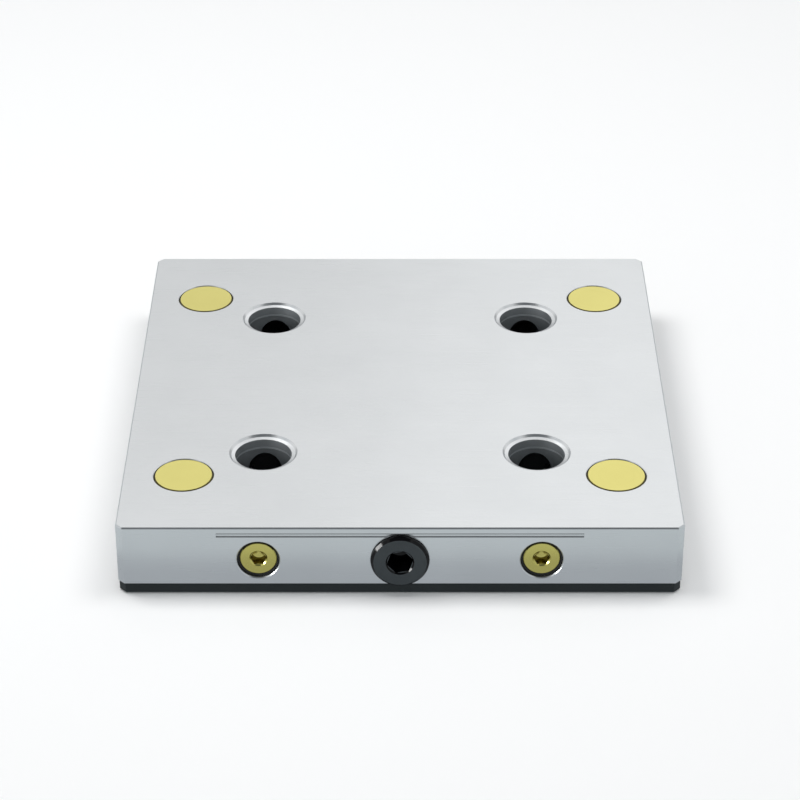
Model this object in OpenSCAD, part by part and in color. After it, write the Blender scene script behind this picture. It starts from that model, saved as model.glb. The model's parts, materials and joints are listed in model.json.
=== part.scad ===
// Zero point clamping plate: four stud bores on a square grid, locked together by one screw.
// Millimetres, +Z up. The origin is the centre of the underside, and the screw faces -Y.

/* [Plate] */
// Width of the plate, left to right
plate_w = 192; // [188:1:220]
// Depth of the plate, front to back
plate_d = 192; // [188:1:220]
// Height of the steel body above the base plate
body_h = 23; // [22.5:0.5:30]
// Bevel of the upright corners
corner_bevel = 2.2; // [1:0.1:5]
// Bevel along the top edges
top_bevel = 0.45; // [0.3:0.05:1.2]
// Bevel along the lower edges of the body
foot_bevel = 0.4; // [0.2:0.1:1]
// Length of the groove along the front face
groove_len = 124; // [60:2:160]
// Height of the groove at its mouth
groove_h = 1.6; // [1:0.05:2]
// Depth of the groove, whose walls slope at 45 degrees
groove_depth = 0.4; // [0.2:0.05:0.45]
// Drop from the top face to the groove
groove_drop = 2.2; // [1.5:0.1:4]

/* [Base plate] */
// Thickness of the base plate
base_t = 4; // [3.6:0.1:8]
// Step from the side of the body in to the base plate
base_inset = 0.3; // [0.1:0.1:2]
// Bevel along the lower edges of the base plate
base_bevel = 0.7; // [0.3:0.1:1.5]

/* [Stud bores] */
// Distance between neighbouring stud bores
stud_pitch = 96; // [90:1:104]
// Diameter of a stud bore at its land
bore_d = 20; // [18:0.5:22]
// Diameter of the mouth at the top face
mouth_d = 24; // [23.5:0.1:26]
// Depth of the bevel at the mouth
mouth_bevel = 0.75; // [0.3:0.05:0.9]
// Fall of the lead-in ledge between the bevel and the land
ledge_fall = 0.35; // [0.1:0.05:0.6]
// Depth of the lower end of the land
land_depth = 4.8; // [3.5:0.1:6]
// Radial relief below the land
bore_relief = 0.4; // [0.2:0.1:0.8]

/* [Mounting] */
// Distance between mounting holes, left to right
mount_x = 150; // [140:1:156]
// Distance between mounting holes, front to back
mount_y = 126; // [118:1:140]
// Diameter of a mounting hole
mount_hole_d = 13.5; // [9:0.5:14.5]
// Diameter of a brass cover
cover_d = 20.5; // [19:0.1:23]
// Thickness of a brass cover
cover_t = 5; // [4:0.1:6]
// Bevel round the top of a cover
cover_bevel = 0.45; // [0.2:0.05:0.8]
// Radial gap round a cover
cover_gap = 0.15; // [0.1:0.05:0.4]
// Width of the ledge that a cover rests on
cover_ledge = 0.8; // [0.5:0.1:1.2]
// Depth of the room for a bolt head below the cover
head_room = 12.5; // [8:0.5:13]
// Thickness of the ring round a cover
cover_ring_d = 1.4; // [1:0.1:1.8]

/* [Clamping screw] */
// Height of the mechanism's axis above the base plate
axis_rise = 10; // [9.5:0.1:11.5]
// Diameter of the screw's head
screw_d = 19.8; // [18:0.1:21]
// Stand of the head in front of the plate, unclamped
screw_stand = 1.7; // [1:0.1:6]
// Bevel round the face of the head
screw_bevel = 0.85; // [0.3:0.05:1.5]
// Key size across flats
screw_key = 8; // [6:1:10]
// Depth of the key socket
screw_key_depth = 10; // [6:0.5:14]
// Turn of the key socket, unclamped
screw_key_turn = 12; // [0:1:30]
// Length of the head's guide in the body
guide_len = 26; // [22:0.5:32]
// Diameter of the screw's thread
thread_d = 16; // [12:1:18]
// Advance for one turn
thread_pitch = 2; // [1.5:0.25:2.5]
// Turns from open to clamped
clamp_turns = 2.25; // [2:0.25:3]
// Diameter of the neck behind the button
neck_d = 10; // [8:0.5:11]
// Diameter of the button that carries the wedge
button_d = 15; // [13:0.5:15.5]
// Thickness of the button
button_t = 5; // [3:0.5:6]
// Thickness of the screw's seal ring
screw_ring_d = 1.8; // [1.2:0.1:2.4]
// Distance of the seal ring behind the front face
screw_ring_back = 8; // [6:0.5:12]

/* [Wedge and slides] */
// Width of the wedge
wedge_w = 40; // [34:0.5:44]
// Angle of a wedge flank to the push
wedge_angle = 45; // [40:1:48]
// Distance of a flank from the middle, level with the slides' axis
flank_x = 14; // [12:0.5:16]
// Forward end of the wedge's nose
nose_y = 5; // [3:0.5:5.5]
// Length of the wedge behind the slides' axis
wedge_back = 41; // [34:0.5:44]
// Thickness of the lip that holds the button
lip_t = 5; // [4:0.5:7]
// Width of a slide
slide_w = 20; // [16:0.5:22]
// Rise of the mechanism's pocket above its axis
pocket_rise = 8; // [7.5:0.1:9]
// Radius of the pocket's corners
pocket_r = 3; // [1:0.5:4]
// Angle of the slide's nose to its stroke
slide_angle = 45; // [40:1:48]
// Half width of the flat at the tip of a slide's nose
slide_tip = 2; // [1:0.25:3]
// Width of the flat at the inner end of a slide
slide_heel = 2; // [1:0.5:4]

/* [Clamping pins] */
// Diameter of a clamping pin
pin_d = 12; // [10:0.5:13]
// Distance of a pin's inner end from the slides' axis, on the pin's centre line
pin_root = 7; // [6:0.25:9]
// Set-back of a pin's tip behind the wall of the stud bore, unclamped
pin_setback = 2.1; // [1:0.1:3]
// Length of the bevel at a pin's tip
pin_bevel = 2; // [1:0.25:3]

/* [Return springs] */
// Diameter of the spring wire
wire_d = 0.9; // [0.6:0.1:1.2]
// Outer diameter of a spring
coil_d = 5.2; // [4.4:0.1:5.8]
// Number of coils
coils = 14; // [8:1:18]
// Distance of an anchor from the slides' axis
anchor_y = 17; // [16:0.5:20]
// Diameter of an anchor
anchor_d = 2.5; // [1.6:0.1:2.8]

/* [Cross bore plugs] */
// Step in diameter from a pin's bore to a plug
plug_step = 0.3; // [0.2:0.1:1]
// Length of a plug
plug_len = 12; // [8:0.5:16]
// Set-back of a plug behind the face of the plate
plug_sink = 0.95; // [0.6:0.05:2]
// Key size across flats
plug_key = 5; // [4:1:6]
// Depth of the key socket
plug_key_depth = 4; // [3:0.5:6]
// Bevel round the mouth of a plug's recess
plug_bevel = 0.3; // [0.1:0.05:0.5]
// Width of the ring round a plug
plug_ring_w = 0.9; // [0.6:0.1:1.5]
// Length of the ring round a plug
plug_ring_len = 2; // [1:0.25:3]

/* [Base screws and dowels] */
// Diameter of a base screw
base_screw_d = 6; // [5:1:6]
// Diameter of a base screw's head
base_head_d = 11.3; // [9:0.1:12]
// Length of a base screw
base_screw_len = 14; // [10:1:16]
// Key size across flats
base_key = 4; // [3:1:4]
// Distance of the outer screws from the sides
base_screw_edge = 10; // [8:0.5:11]
// Distance of the middle screws from the centre lines
base_screw_mid = 25; // [22:0.5:30]
// Distance of the inner screws from the centre lines
base_screw_in = 30; // [29:0.5:32]
// Diameter of a dowel
dowel_d = 6; // [4:1:8]
// Length of a dowel
dowel_len = 12; // [8:1:16]
// Distance of a dowel from the centre, left to right
dowel_x = 66; // [64:0.5:70]
// Distance of a dowel from the centre, front to back
dowel_y = 36; // [28:0.5:40]

/* [Clearances] */
// Gap beside a piece that slides or turns
run_gap = 0.1; // [0.05:0.01:0.2]
// Gap between faces that push each other
push_gap = 0.05; // [0.02:0.01:0.1]
// Gap round the head of the screw
screw_gap = 0.15; // [0.1:0.01:0.3]
// Gap at the end of a stroke
end_gap = 0.5; // [0.2:0.1:1]
// Gap round a piece that is screwed or pressed in
seat_gap = 0.05; // [0.02:0.01:0.1]
// Gap round a spring
coil_gap = 0.5; // [0.3:0.1:0.8]

/* [Hidden] */
$fn = 64;
cut = 1; // overrun of a cut past the face that it opens
edge = 0.25; // small bevel on turned edges
base_sink = 0.2; // set-back of screw heads and dowels above the underside
base_rim = 0.4; // straight rim of a base screw's head
lead = 1; // bevel on the end that goes in first
groove_slack = 1.3; // width of a ring's groove, in ring thicknesses
hook_gap = 1.4; // distance from the coils to the hook, in wire thicknesses
hole_slack = 4; // depth of a spring's hole past its anchor, in wire thicknesses
bridge_pull = 0.8; // roundness of the curve between coils and hook, in coil radii

steel = [0.85, 0.86, 0.87];
hard_steel = [0.62, 0.63, 0.65];
black_steel = [0.17, 0.18, 0.19];
brass = [0.82, 0.78, 0.45];
rubber = [0.07, 0.07, 0.07];

plate_h = base_t + body_h;
front_y = -plate_d / 2;
axis_z = base_t + axis_rise;
stud_x = stud_pitch / 2;
bore_r = bore_d / 2;

screw_travel = thread_pitch * clamp_turns;
slide_travel = screw_travel * tan(wedge_angle);
pin_travel = slide_travel * tan(slide_angle);

mech_bottom = base_t + run_gap;
mech_h = axis_rise + pocket_rise - 2 * run_gap;

slide_r = slide_w / 2;
slide_face_x = flank_x + push_gap / cos(wedge_angle);
slide_heel_y = slide_r - slide_heel;
slide_heel_x = slide_face_x - slide_heel_y * tan(wedge_angle);
pin_cone_x = stud_x + pin_root / tan(slide_angle);
slide_point_x = pin_cone_x - push_gap / sin(slide_angle);
slide_tip_x = slide_point_x - slide_tip / tan(slide_angle);
slide_base_x = slide_point_x - slide_r / tan(slide_angle);
slot_end_x = slide_tip_x + slide_travel + end_gap;
fork_root_x = stud_x - coil_d / 2 - coil_gap - slide_travel;

pin_tip_y = stud_x - bore_r - bore_relief - pin_setback;
pin_bore_d = pin_d + 2 * run_gap;
pin_stub_y = slide_tip + push_gap + run_gap;
plug_d = pin_bore_d + plug_step;
plug_bore_d = plug_d + 2 * seat_gap;
plug_recess_d = plug_d + 2 * (plug_ring_w + 2 * seat_gap);
plug_y = -front_y - plug_sink;

screw_bore_d = screw_d + 2 * screw_gap;
screw_face_y = front_y - screw_stand;
guide_end_y = front_y + guide_len;
head_end_y = guide_end_y - screw_travel - end_gap;
thread_end_y = -wedge_back - push_gap;
button_y = -wedge_back + lip_t + push_gap;
screw_ring_y = front_y + screw_ring_back;
ring_groove_w = screw_ring_d * groove_slack;
ring_floor_r = screw_bore_d / 2 - run_gap - screw_ring_d;

cover_z = plate_h - cover_t;
cover_well_d = cover_d + 2 * cover_gap;
head_well_d = cover_well_d - 2 * cover_ledge;
head_floor_z = cover_z - head_room;
cover_floor_r = cover_well_d / 2 - seat_gap - cover_ring_d;

base_points = concat(
    [for (sx = [-1, 1], sy = [-1, 1])
        [sx * (plate_w / 2 - base_screw_edge), sy * (plate_d / 2 - base_screw_edge)]],
    [for (sx = [-1, 1], sy = [-1, 1]) [sx * base_screw_mid, sy * (plate_d / 2 - base_screw_edge)]],
    [for (sx = [-1, 1], sy = [-1, 1]) [sx * (plate_w / 2 - base_screw_edge), sy * base_screw_mid]],
    [for (sx = [-1, 1], sy = [-1, 1]) [sx * base_screw_in, sy * base_screw_in]]
);
dowel_points = [[dowel_x, dowel_y], [-dowel_x, -dowel_y]];

coil_r = (coil_d - wire_d) / 2;
loop_y = anchor_y + anchor_d / 2 + push_gap + wire_d / 2 - coil_r;
coil_half = loop_y - coil_r - hook_gap * wire_d;
wire_sides = 6;
coil_steps = 12;
loop_start = 60;
loop_stop = 330;

// Places a right-hand rear shape in any of the four quarters.
module quarter(sx, sy) {
    mirror([sx < 0 ? 1 : 0, 0, 0])
        mirror([0, sy < 0 ? 1 : 0, 0])
            children();
}

// Repeats a shape in all four quarters.
module quarters() {
    for (sx = [-1, 1], sy = [-1, 1])
        quarter(sx, sy)
            children();
}

// Turns a shape that was revolved about Z to run along +Y, on the mechanism's axis.
module along_y(x) {
    translate([x, 0, axis_z])
        rotate([-90, 0, 0])
            children();
}

// Solid of revolution from [radius, height] points.
module turned(points) {
    rotate_extrude()
        polygon(points);
}

// Ring of round section.
module o_ring(mid_r, d) {
    rotate_extrude()
        translate([mid_r, 0])
            circle(d = d, $fn = 32);
}

// Key socket with a bevelled mouth and a drill point, opening at z = 0 and running up.
module key_socket(key, depth) {
    corner_d = key / cos(30);
    translate([0, 0, -cut])
        cylinder(d = corner_d, h = depth + cut, $fn = 6);
    translate([0, 0, -edge])
        cylinder(r1 = corner_d / 2 + 2 * edge, r2 = corner_d / 2 - edge, h = 3 * edge);
    translate([0, 0, depth])
        cylinder(r1 = key / 2 - edge, r2 = 0, h = key / 4);
}

// Rectangle with bevelled corners.
module bevelled_outline(w, d, bevel) {
    polygon([
        [w / 2 - bevel, -d / 2], [w / 2, -d / 2 + bevel], [w / 2, d / 2 - bevel], [w / 2 - bevel, d / 2],
        [-w / 2 + bevel, d / 2], [-w / 2, d / 2 - bevel], [-w / 2, -d / 2 + bevel], [-w / 2 + bevel, -d / 2]
    ]);
}

// Cuts a bevel along all eight edges of a bevelled rectangle, at height z.
module edge_cut(w, d, bevel, z, leg) {
    long = w + d;
    side = leg * sqrt(2);
    for (sx = [-1, 1]) {
        translate([sx * w / 2, 0, z])
            rotate([0, 45, 0])
                cube([side, long, side], center = true);
        translate([0, sx * d / 2, z])
            rotate([45, 0, 0])
                cube([long, side, side], center = true);
        for (sy = [-1, 1])
            translate([sx * (w - bevel) / 2, sy * (d - bevel) / 2, z])
                rotate([0, 0, sx * sy * 45])
                    rotate([0, 45, 0])
                        cube([side, 4 * bevel, side], center = true);
    }
}

// Rectangle with round corners.
module round_outline(w, d, r) {
    square([w - 2 * r, d], center = true);
    square([w, d - 2 * r], center = true);
    for (sx = [-1, 1], sy = [-1, 1])
        translate([sx * (w / 2 - r), sy * (d / 2 - r)])
            circle(r = r);
}

// Stud bore: bevelled mouth, lead-in ledge, land and relieved lower part.
module stud_bore() {
    turned([
        [0, base_t - cut],
        [bore_r + bore_relief, base_t - cut],
        [bore_r + bore_relief, plate_h - land_depth - bore_relief],
        [bore_r, plate_h - land_depth],
        [bore_r, plate_h - mouth_bevel - ledge_fall],
        [mouth_d / 2 - mouth_bevel, plate_h - mouth_bevel],
        [mouth_d / 2 + cut, plate_h + cut],
        [0, plate_h + cut]
    ]);
}

// Stepped well for a mounting bolt and its cover.
module mount_well() {
    turned([
        [0, base_t - cut],
        [mount_hole_d / 2, base_t - cut],
        [mount_hole_d / 2, head_floor_z],
        [head_well_d / 2, head_floor_z],
        [head_well_d / 2, cover_z],
        [cover_well_d / 2, cover_z],
        [cover_well_d / 2, plate_h - edge],
        [cover_well_d / 2 + edge + cut, plate_h + cut],
        [0, plate_h + cut]
    ]);
}

// Cross bore from the middle to the rear face: pin guide, plug seat and recess.
module cross_bore() {
    turned([
        [0, -cut],
        [pin_bore_d / 2, -cut],
        [pin_bore_d / 2, plug_y - plug_len],
        [plug_bore_d / 2, plug_y - plug_len],
        [plug_bore_d / 2, plug_y - plug_ring_len - seat_gap],
        [plug_recess_d / 2, plug_y - plug_ring_len - seat_gap],
        [plug_recess_d / 2, -front_y - plug_bevel],
        [plug_recess_d / 2 + plug_bevel + cut, -front_y + cut],
        [0, -front_y + cut]
    ]);
}

// Bore of the clamping screw: guide for the head, then the thread.
module screw_bore() {
    turned([
        [0, front_y - cut],
        [screw_bore_d / 2, front_y - cut],
        [screw_bore_d / 2, guide_end_y],
        [thread_d / 2 + run_gap, guide_end_y],
        [thread_d / 2 + run_gap, -wedge_back],
        [0, -wedge_back]
    ]);
}

// Groove with sloping walls along the front face.
module front_groove() {
    half = groove_h / 2;
    translate([0, front_y, plate_h - groove_drop - half])
        rotate([90, 0, 90])
            linear_extrude(groove_len, center = true)
                polygon([
                    [-cut, half + cut], [groove_depth, half - groove_depth],
                    [groove_depth, groove_depth - half], [-cut, -half - cut]
                ]);
}

// Pocket for the wedge and the slides, open at the bottom of the body.
module pocket() {
    front = -wedge_back - 2 * run_gap;
    translate([0, 0, base_t - cut])
        linear_extrude(axis_rise + pocket_rise + cut) {
            round_outline(2 * slot_end_x, slide_w + 2 * run_gap, pocket_r);
            translate([0, front / 2])
                round_outline(wedge_w + 2 * run_gap, -front, pocket_r);
        }
}

// Holes in the base plate and the body for screws and dowels.
module fastener_holes() {
    for (p = base_points)
        translate([p[0], p[1], base_sink])
            base_screw_form(2 * seat_gap, cut);
    for (p = dowel_points)
        translate([p[0], p[1], -cut])
            cylinder(d = dowel_d + 2 * seat_gap, h = dowel_len + base_sink + cut + end_gap);
}

// Countersunk screw standing head down, grown by a gap and lengthened below the head.
module base_screw_form(gap, below) {
    head_h = (base_head_d - base_screw_d) / 2;
    turned([
        [0, -below],
        [base_head_d / 2 + gap, -below],
        [base_head_d / 2 + gap, base_rim],
        [base_screw_d / 2 + gap, base_rim + head_h],
        [base_screw_d / 2 + gap, base_screw_len - base_sink + gap],
        [0, base_screw_len - base_sink + gap]
    ]);
}

// Steel body with the stud bores, wells, cross bores and the mechanism's pocket.
module body() {
    color(steel)
        difference() {
            translate([0, 0, base_t])
                linear_extrude(body_h)
                    bevelled_outline(plate_w, plate_d, corner_bevel);
            edge_cut(plate_w, plate_d, corner_bevel, plate_h, top_bevel);
            edge_cut(plate_w, plate_d, corner_bevel, base_t, foot_bevel);
            quarters() {
                translate([stud_x, stud_x, 0])
                    stud_bore();
                translate([mount_x / 2, mount_y / 2, 0])
                    mount_well();
                along_y(stud_x)
                    cross_bore();
            }
            along_y(0)
                screw_bore();
            pocket();
            fastener_holes();
            front_groove();
        }
}

// Black plate that closes the body from below.
module base_plate() {
    w = plate_w - 2 * base_inset;
    d = plate_d - 2 * base_inset;
    color(black_steel)
        difference() {
            linear_extrude(base_t)
                bevelled_outline(w, d, corner_bevel);
            edge_cut(w, d, corner_bevel, 0, base_bevel);
            quarters()
                translate([mount_x / 2, mount_y / 2, -cut])
                    cylinder(d = mount_hole_d, h = base_t + 2 * cut);
            along_y(0)
                screw_bore();
            fastener_holes();
        }
}

// Countersunk screws that hold the base plate.
module base_screws() {
    color(black_steel)
        for (p = base_points)
            translate([p[0], p[1], base_sink])
                difference() {
                    base_screw_form(0, 0);
                    key_socket(base_key, base_key / 2);
                }
}

// Dowels that locate the base plate.
module base_dowels() {
    color(hard_steel)
        for (p = dowel_points)
            translate([p[0], p[1], base_sink])
                turned([
                    [0, 0], [dowel_d / 2 - edge, 0], [dowel_d / 2, edge],
                    [dowel_d / 2, dowel_len - edge], [dowel_d / 2 - edge, dowel_len], [0, dowel_len]
                ]);
}

// Brass cover over a mounting bolt, with a groove for its ring.
module cover(sx, sy) {
    r = cover_d / 2;
    groove_half = cover_ring_d * groove_slack / 2;
    color(brass)
        quarter(sx, sy)
            translate([mount_x / 2, mount_y / 2, cover_z])
                turned([
                    [0, 0], [r - edge, 0], [r, edge],
                    [r, cover_t / 2 - groove_half], [cover_floor_r - seat_gap, cover_t / 2 - groove_half],
                    [cover_floor_r - seat_gap, cover_t / 2 + groove_half], [r, cover_t / 2 + groove_half],
                    [r, cover_t - cover_bevel], [r - cover_bevel, cover_t], [0, cover_t]
                ]);
}

// Rubber ring that holds a cover in its well.
module cover_ring(sx, sy) {
    color(rubber)
        quarter(sx, sy)
            translate([mount_x / 2, mount_y / 2, cover_z + cover_t / 2])
                o_ring(cover_floor_r + cover_ring_d / 2, cover_ring_d);
}

// Brass plug that closes the outer end of a cross bore.
module plug(sx, sy) {
    r = plug_d / 2;
    color(brass)
        quarter(sx, sy)
            along_y(stud_x)
                difference() {
                    turned([
                        [0, plug_y - plug_len], [r - lead, plug_y - plug_len], [r, plug_y - plug_len + lead],
                        [r, plug_y - edge], [r - edge, plug_y], [0, plug_y]
                    ]);
                    translate([0, 0, plug_y])
                        mirror([0, 0, 1])
                            key_socket(plug_key, plug_key_depth);
                }
}

// Rubber ring that lies in the recess round a plug.
module plug_ring(sx, sy) {
    inner = plug_d / 2 + seat_gap;
    outer = inner + plug_ring_w;
    back = plug_y - plug_ring_len;
    color(rubber)
        quarter(sx, sy)
            along_y(stud_x)
                turned([
                    [inner, back], [outer, back], [outer, plug_y - 2 * edge],
                    [outer - edge, plug_y - edge], [inner + edge, plug_y - edge], [inner, plug_y - 2 * edge]
                ]);
}

// Clamping screw: head with key socket and ring groove, thread, neck and button.
module clamping_screw() {
    head_r = screw_d / 2;
    color(black_steel)
        along_y(0)
            difference() {
                turned([
                    [0, screw_face_y], [head_r - screw_bevel, screw_face_y],
                    [head_r, screw_face_y + screw_bevel], [head_r, screw_ring_y - ring_groove_w / 2],
                    [ring_floor_r - seat_gap, screw_ring_y - ring_groove_w / 2],
                    [ring_floor_r - seat_gap, screw_ring_y + ring_groove_w / 2],
                    [head_r, screw_ring_y + ring_groove_w / 2], [head_r, head_end_y - 2 * edge],
                    [head_r - 2 * edge, head_end_y], [thread_d / 2, head_end_y],
                    [thread_d / 2, thread_end_y - lead], [thread_d / 2 - lead, thread_end_y],
                    [neck_d / 2, thread_end_y], [neck_d / 2, button_y], [button_d / 2, button_y],
                    [button_d / 2, button_y + button_t - edge], [button_d / 2 - edge, button_y + button_t],
                    [0, button_y + button_t]
                ]);
                translate([0, 0, screw_face_y])
                    rotate([0, 0, -screw_key_turn])
                        key_socket(screw_key, screw_key_depth);
            }
}

// Seal ring in the head of the clamping screw.
module screw_ring() {
    color(rubber)
        along_y(0)
            translate([0, 0, screw_ring_y])
                o_ring(ring_floor_r + screw_ring_d / 2, screw_ring_d);
}

// Slot from below that drops over a round part of the screw, between two places along Y.
module drop_slot(d, y0, y1) {
    slot_w = d + 4 * run_gap;
    along_y(0)
        translate([0, 0, y0])
            cylinder(d = slot_w, h = y1 - y0);
    translate([-slot_w / 2, y0, base_t - cut])
        cube([slot_w, y1 - y0, axis_rise + cut]);
}

// Wedge that the screw pushes back and pulls forward by its button.
module wedge() {
    half = wedge_w / 2;
    shoulder_y = (flank_x - half) / tan(wedge_angle);
    nose_half = flank_x - nose_y * tan(wedge_angle);
    back = -wedge_back;
    color(hard_steel)
        difference() {
            translate([0, 0, mech_bottom])
                linear_extrude(mech_h)
                    polygon([
                        [half - pocket_r, back], [half, back + pocket_r], [half, shoulder_y],
                        [nose_half, nose_y], [-nose_half, nose_y],
                        [-half, shoulder_y], [-half, back + pocket_r], [-half + pocket_r, back]
                    ]);
            drop_slot(neck_d, back - cut, button_y);
            drop_slot(button_d, button_y - push_gap, button_y + button_t + 2 * push_gap);
        }
}

// Slide between the wedge and a pair of pins, with a forked nose for the spring.
module slide(sx) {
    fork_h = coil_d + 2 * coil_gap;
    color(hard_steel)
        quarter(sx, 1)
            difference() {
                translate([0, 0, mech_bottom])
                    linear_extrude(mech_h)
                        polygon([
                            [slide_face_x + slide_r * tan(wedge_angle), -slide_r],
                            [slide_base_x, -slide_r], [slide_tip_x, -slide_tip],
                            [slide_tip_x, slide_tip], [slide_base_x, slide_r],
                            [slide_heel_x, slide_r], [slide_heel_x, slide_heel_y]
                        ]);
                translate([fork_root_x, -slide_w / 2 - cut, axis_z - fork_h / 2])
                    cube([slot_end_x, slide_w + 2 * cut, fork_h]);
            }
}

// Clamping pin: bevelled tip towards the stud, sloping inner end, hole for the spring.
module clamp_pin(sx, sy) {
    r = pin_d / 2;
    slope = tan(slide_angle);
    hole_end = anchor_y + anchor_d / 2 + hole_slack * wire_d;
    color(black_steel)
        quarter(sx, sy)
            difference() {
                along_y(stud_x)
                    turned([
                        [0, pin_stub_y], [r, pin_stub_y], [r, pin_tip_y - pin_bevel],
                        [r - pin_bevel, pin_tip_y], [0, pin_tip_y]
                    ]);
                translate([0, 0, axis_z - pin_d])
                    linear_extrude(2 * pin_d)
                        polygon([
                            [stud_x - pin_d, pin_stub_y - cut],
                            [pin_cone_x - (pin_stub_y - cut) / slope, pin_stub_y - cut],
                            [stud_x - pin_d, (pin_cone_x - stud_x + pin_d) * slope]
                        ]);
                along_y(stud_x)
                    cylinder(d = coil_d + 2 * coil_gap, h = hole_end);
                translate([stud_x - pin_d, anchor_y, axis_z])
                    rotate([0, 90, 0])
                        cylinder(d = anchor_d + 2 * seat_gap, h = 2 * pin_d);
            }
}

// Cross pin inside a clamping pin that the spring hooks on.
module anchor_pin(sx, sy) {
    half = sqrt(pow(pin_d / 2, 2) - pow(anchor_d / 2, 2)) - edge;
    color(hard_steel)
        quarter(sx, sy)
            translate([stud_x - half, anchor_y, axis_z])
                rotate([0, 90, 0])
                    cylinder(d = anchor_d, h = 2 * half);
}

// Helix of a spring's coils along Y.
function coil_path() = [
    for (i = [0 : coils * coil_steps])
        let (a = 360 * i / coil_steps)
        [coil_r * cos(a), coil_half * (2 * i / (coils * coil_steps) - 1), coil_r * sin(a)]
];

// Point on the end loop, counted in degrees from the side next to the coils.
function loop_point(a) = [0, loop_y - coil_r * cos(a), coil_r * sin(a)];

// Curve from the last coil to the loop, as a cubic with both end directions.
function bridge_point(t) =
    let (p0 = [coil_r, coil_half, 0], p3 = loop_point(loop_start), pull = coil_r * bridge_pull)
    let (p1 = p0 + [0, 0, pull], p2 = p3 - pull * [0, sin(loop_start), cos(loop_start)])
    pow(1 - t, 3) * p0 + 3 * t * pow(1 - t, 2) * p1 + 3 * t * t * (1 - t) * p2 + pow(t, 3) * p3;

// Hook at the rear end of a spring.
function hook_path() = concat(
    [for (t = [0.2 : 0.2 : 0.8]) bridge_point(t)],
    [for (a = [loop_start : 30 : loop_stop]) loop_point(a)]
);

// The same hook at the front end, walked from its tip.
function front_hook_path() =
    let (hook = hook_path(), last = len(hook) - 1)
    [for (i = [last : -1 : 0]) [hook[i][0], -hook[i][1], -hook[i][2]]];

function unit(v) = v / norm(v);

// Direction of a path at one of its points.
function heading(path, i) = unit(path[min(i + 1, len(path) - 1)] - path[max(i - 1, 0)]);

// Sideways directions that turn as little as possible along a path.
function sideways(path, i, last) =
    i == len(path) ? [] :
    let (t = heading(path, i), n = unit(last - (last * t) * t))
    concat([n], sideways(path, i + 1, n));

// Round wire along a path.
module wire(path, d) {
    n = len(path);
    s = wire_sides;
    sides = sideways(path, 0, [1, 0, 0]);
    points = [
        for (i = [0 : n - 1])
            let (u = sides[i], v = cross(heading(path, i), u))
            for (k = [0 : s - 1])
                path[i] + d / 2 * (cos(360 * k / s) * u + sin(360 * k / s) * v)
    ];
    walls = [
        for (i = [0 : n - 2], k = [0 : s - 1])
            [i * s + k, (i + 1) * s + k, (i + 1) * s + (k + 1) % s, i * s + (k + 1) % s]
    ];
    start = [for (k = [0 : s - 1]) k];
    end = [for (k = [s - 1 : -1 : 0]) (n - 1) * s + k];
    polyhedron(points, concat([start, end], walls), convexity = 10);
}

// Return spring between a front pin and a rear pin.
module return_spring(sx) {
    color(steel)
        translate([sx * stud_x, 0, axis_z])
            wire(concat(front_hook_path(), coil_path(), hook_path()), wire_d);
}

body();
base_plate();
base_screws();
base_dowels();
cover(-1, -1);  // cover_front_left
cover(1, -1);  // cover_front_right
cover(-1, 1);  // cover_rear_left
cover(1, 1);  // cover_rear_right
cover_ring(-1, -1);  // cover_ring_front_left
cover_ring(1, -1);  // cover_ring_front_right
cover_ring(-1, 1);  // cover_ring_rear_left
cover_ring(1, 1);  // cover_ring_rear_right
plug(-1, -1);  // plug_front_left
plug(1, -1);  // plug_front_right
plug(-1, 1);  // plug_rear_left
plug(1, 1);  // plug_rear_right
plug_ring(-1, -1);  // plug_ring_front_left
plug_ring(1, -1);  // plug_ring_front_right
plug_ring(-1, 1);  // plug_ring_rear_left
plug_ring(1, 1);  // plug_ring_rear_right
clamping_screw();
screw_ring();
wedge();
slide(-1);  // slide_left
slide(1);  // slide_right
clamp_pin(-1, -1);  // pin_front_left
clamp_pin(1, -1);  // pin_front_right
clamp_pin(-1, 1);  // pin_rear_left
clamp_pin(1, 1);  // pin_rear_right
anchor_pin(-1, -1);  // anchor_front_left
anchor_pin(1, -1);  // anchor_front_right
anchor_pin(-1, 1);  // anchor_rear_left
anchor_pin(1, 1);  // anchor_rear_right
return_spring(-1);  // spring_left
return_spring(1);  // spring_right
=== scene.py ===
"""Looks of the zero point clamping plate: its finishes, the stretching springs and the studio."""

import json
import logging
import math
from dataclasses import dataclass
from enum import Enum

import bmesh
import bpy
from mathutils import Matrix, Quaternion, Vector


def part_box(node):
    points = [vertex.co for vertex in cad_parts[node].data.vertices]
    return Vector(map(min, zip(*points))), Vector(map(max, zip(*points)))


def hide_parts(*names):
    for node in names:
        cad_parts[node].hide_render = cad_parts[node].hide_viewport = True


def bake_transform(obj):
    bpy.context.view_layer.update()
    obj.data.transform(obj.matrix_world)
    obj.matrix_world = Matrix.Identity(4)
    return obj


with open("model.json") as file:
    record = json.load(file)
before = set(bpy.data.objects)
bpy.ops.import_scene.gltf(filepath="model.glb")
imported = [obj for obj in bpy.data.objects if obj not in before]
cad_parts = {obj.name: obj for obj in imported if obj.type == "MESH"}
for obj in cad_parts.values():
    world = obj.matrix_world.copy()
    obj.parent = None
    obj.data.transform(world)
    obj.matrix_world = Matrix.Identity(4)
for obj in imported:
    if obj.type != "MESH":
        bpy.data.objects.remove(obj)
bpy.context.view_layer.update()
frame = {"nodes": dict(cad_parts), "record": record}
MILLIMETRE = 0.001
BARE = 1.0
COATED = 0.0
NODE_STEP = 200.0

Colour = tuple[float, float, float]
Point = tuple[float, float, float]
Source = bpy.types.NodeSocket | float | Colour

MIDDLE: Point = (0.0, 0.0, 0.0)
BLACK: Colour = (0.0, 0.0, 0.0)
WHITE: Colour = (1.0, 1.0, 1.0)
ROOM_FRONT: Colour = (0.62, 0.655, 0.68)

log = logging.getLogger("clamping_plate")


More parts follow.
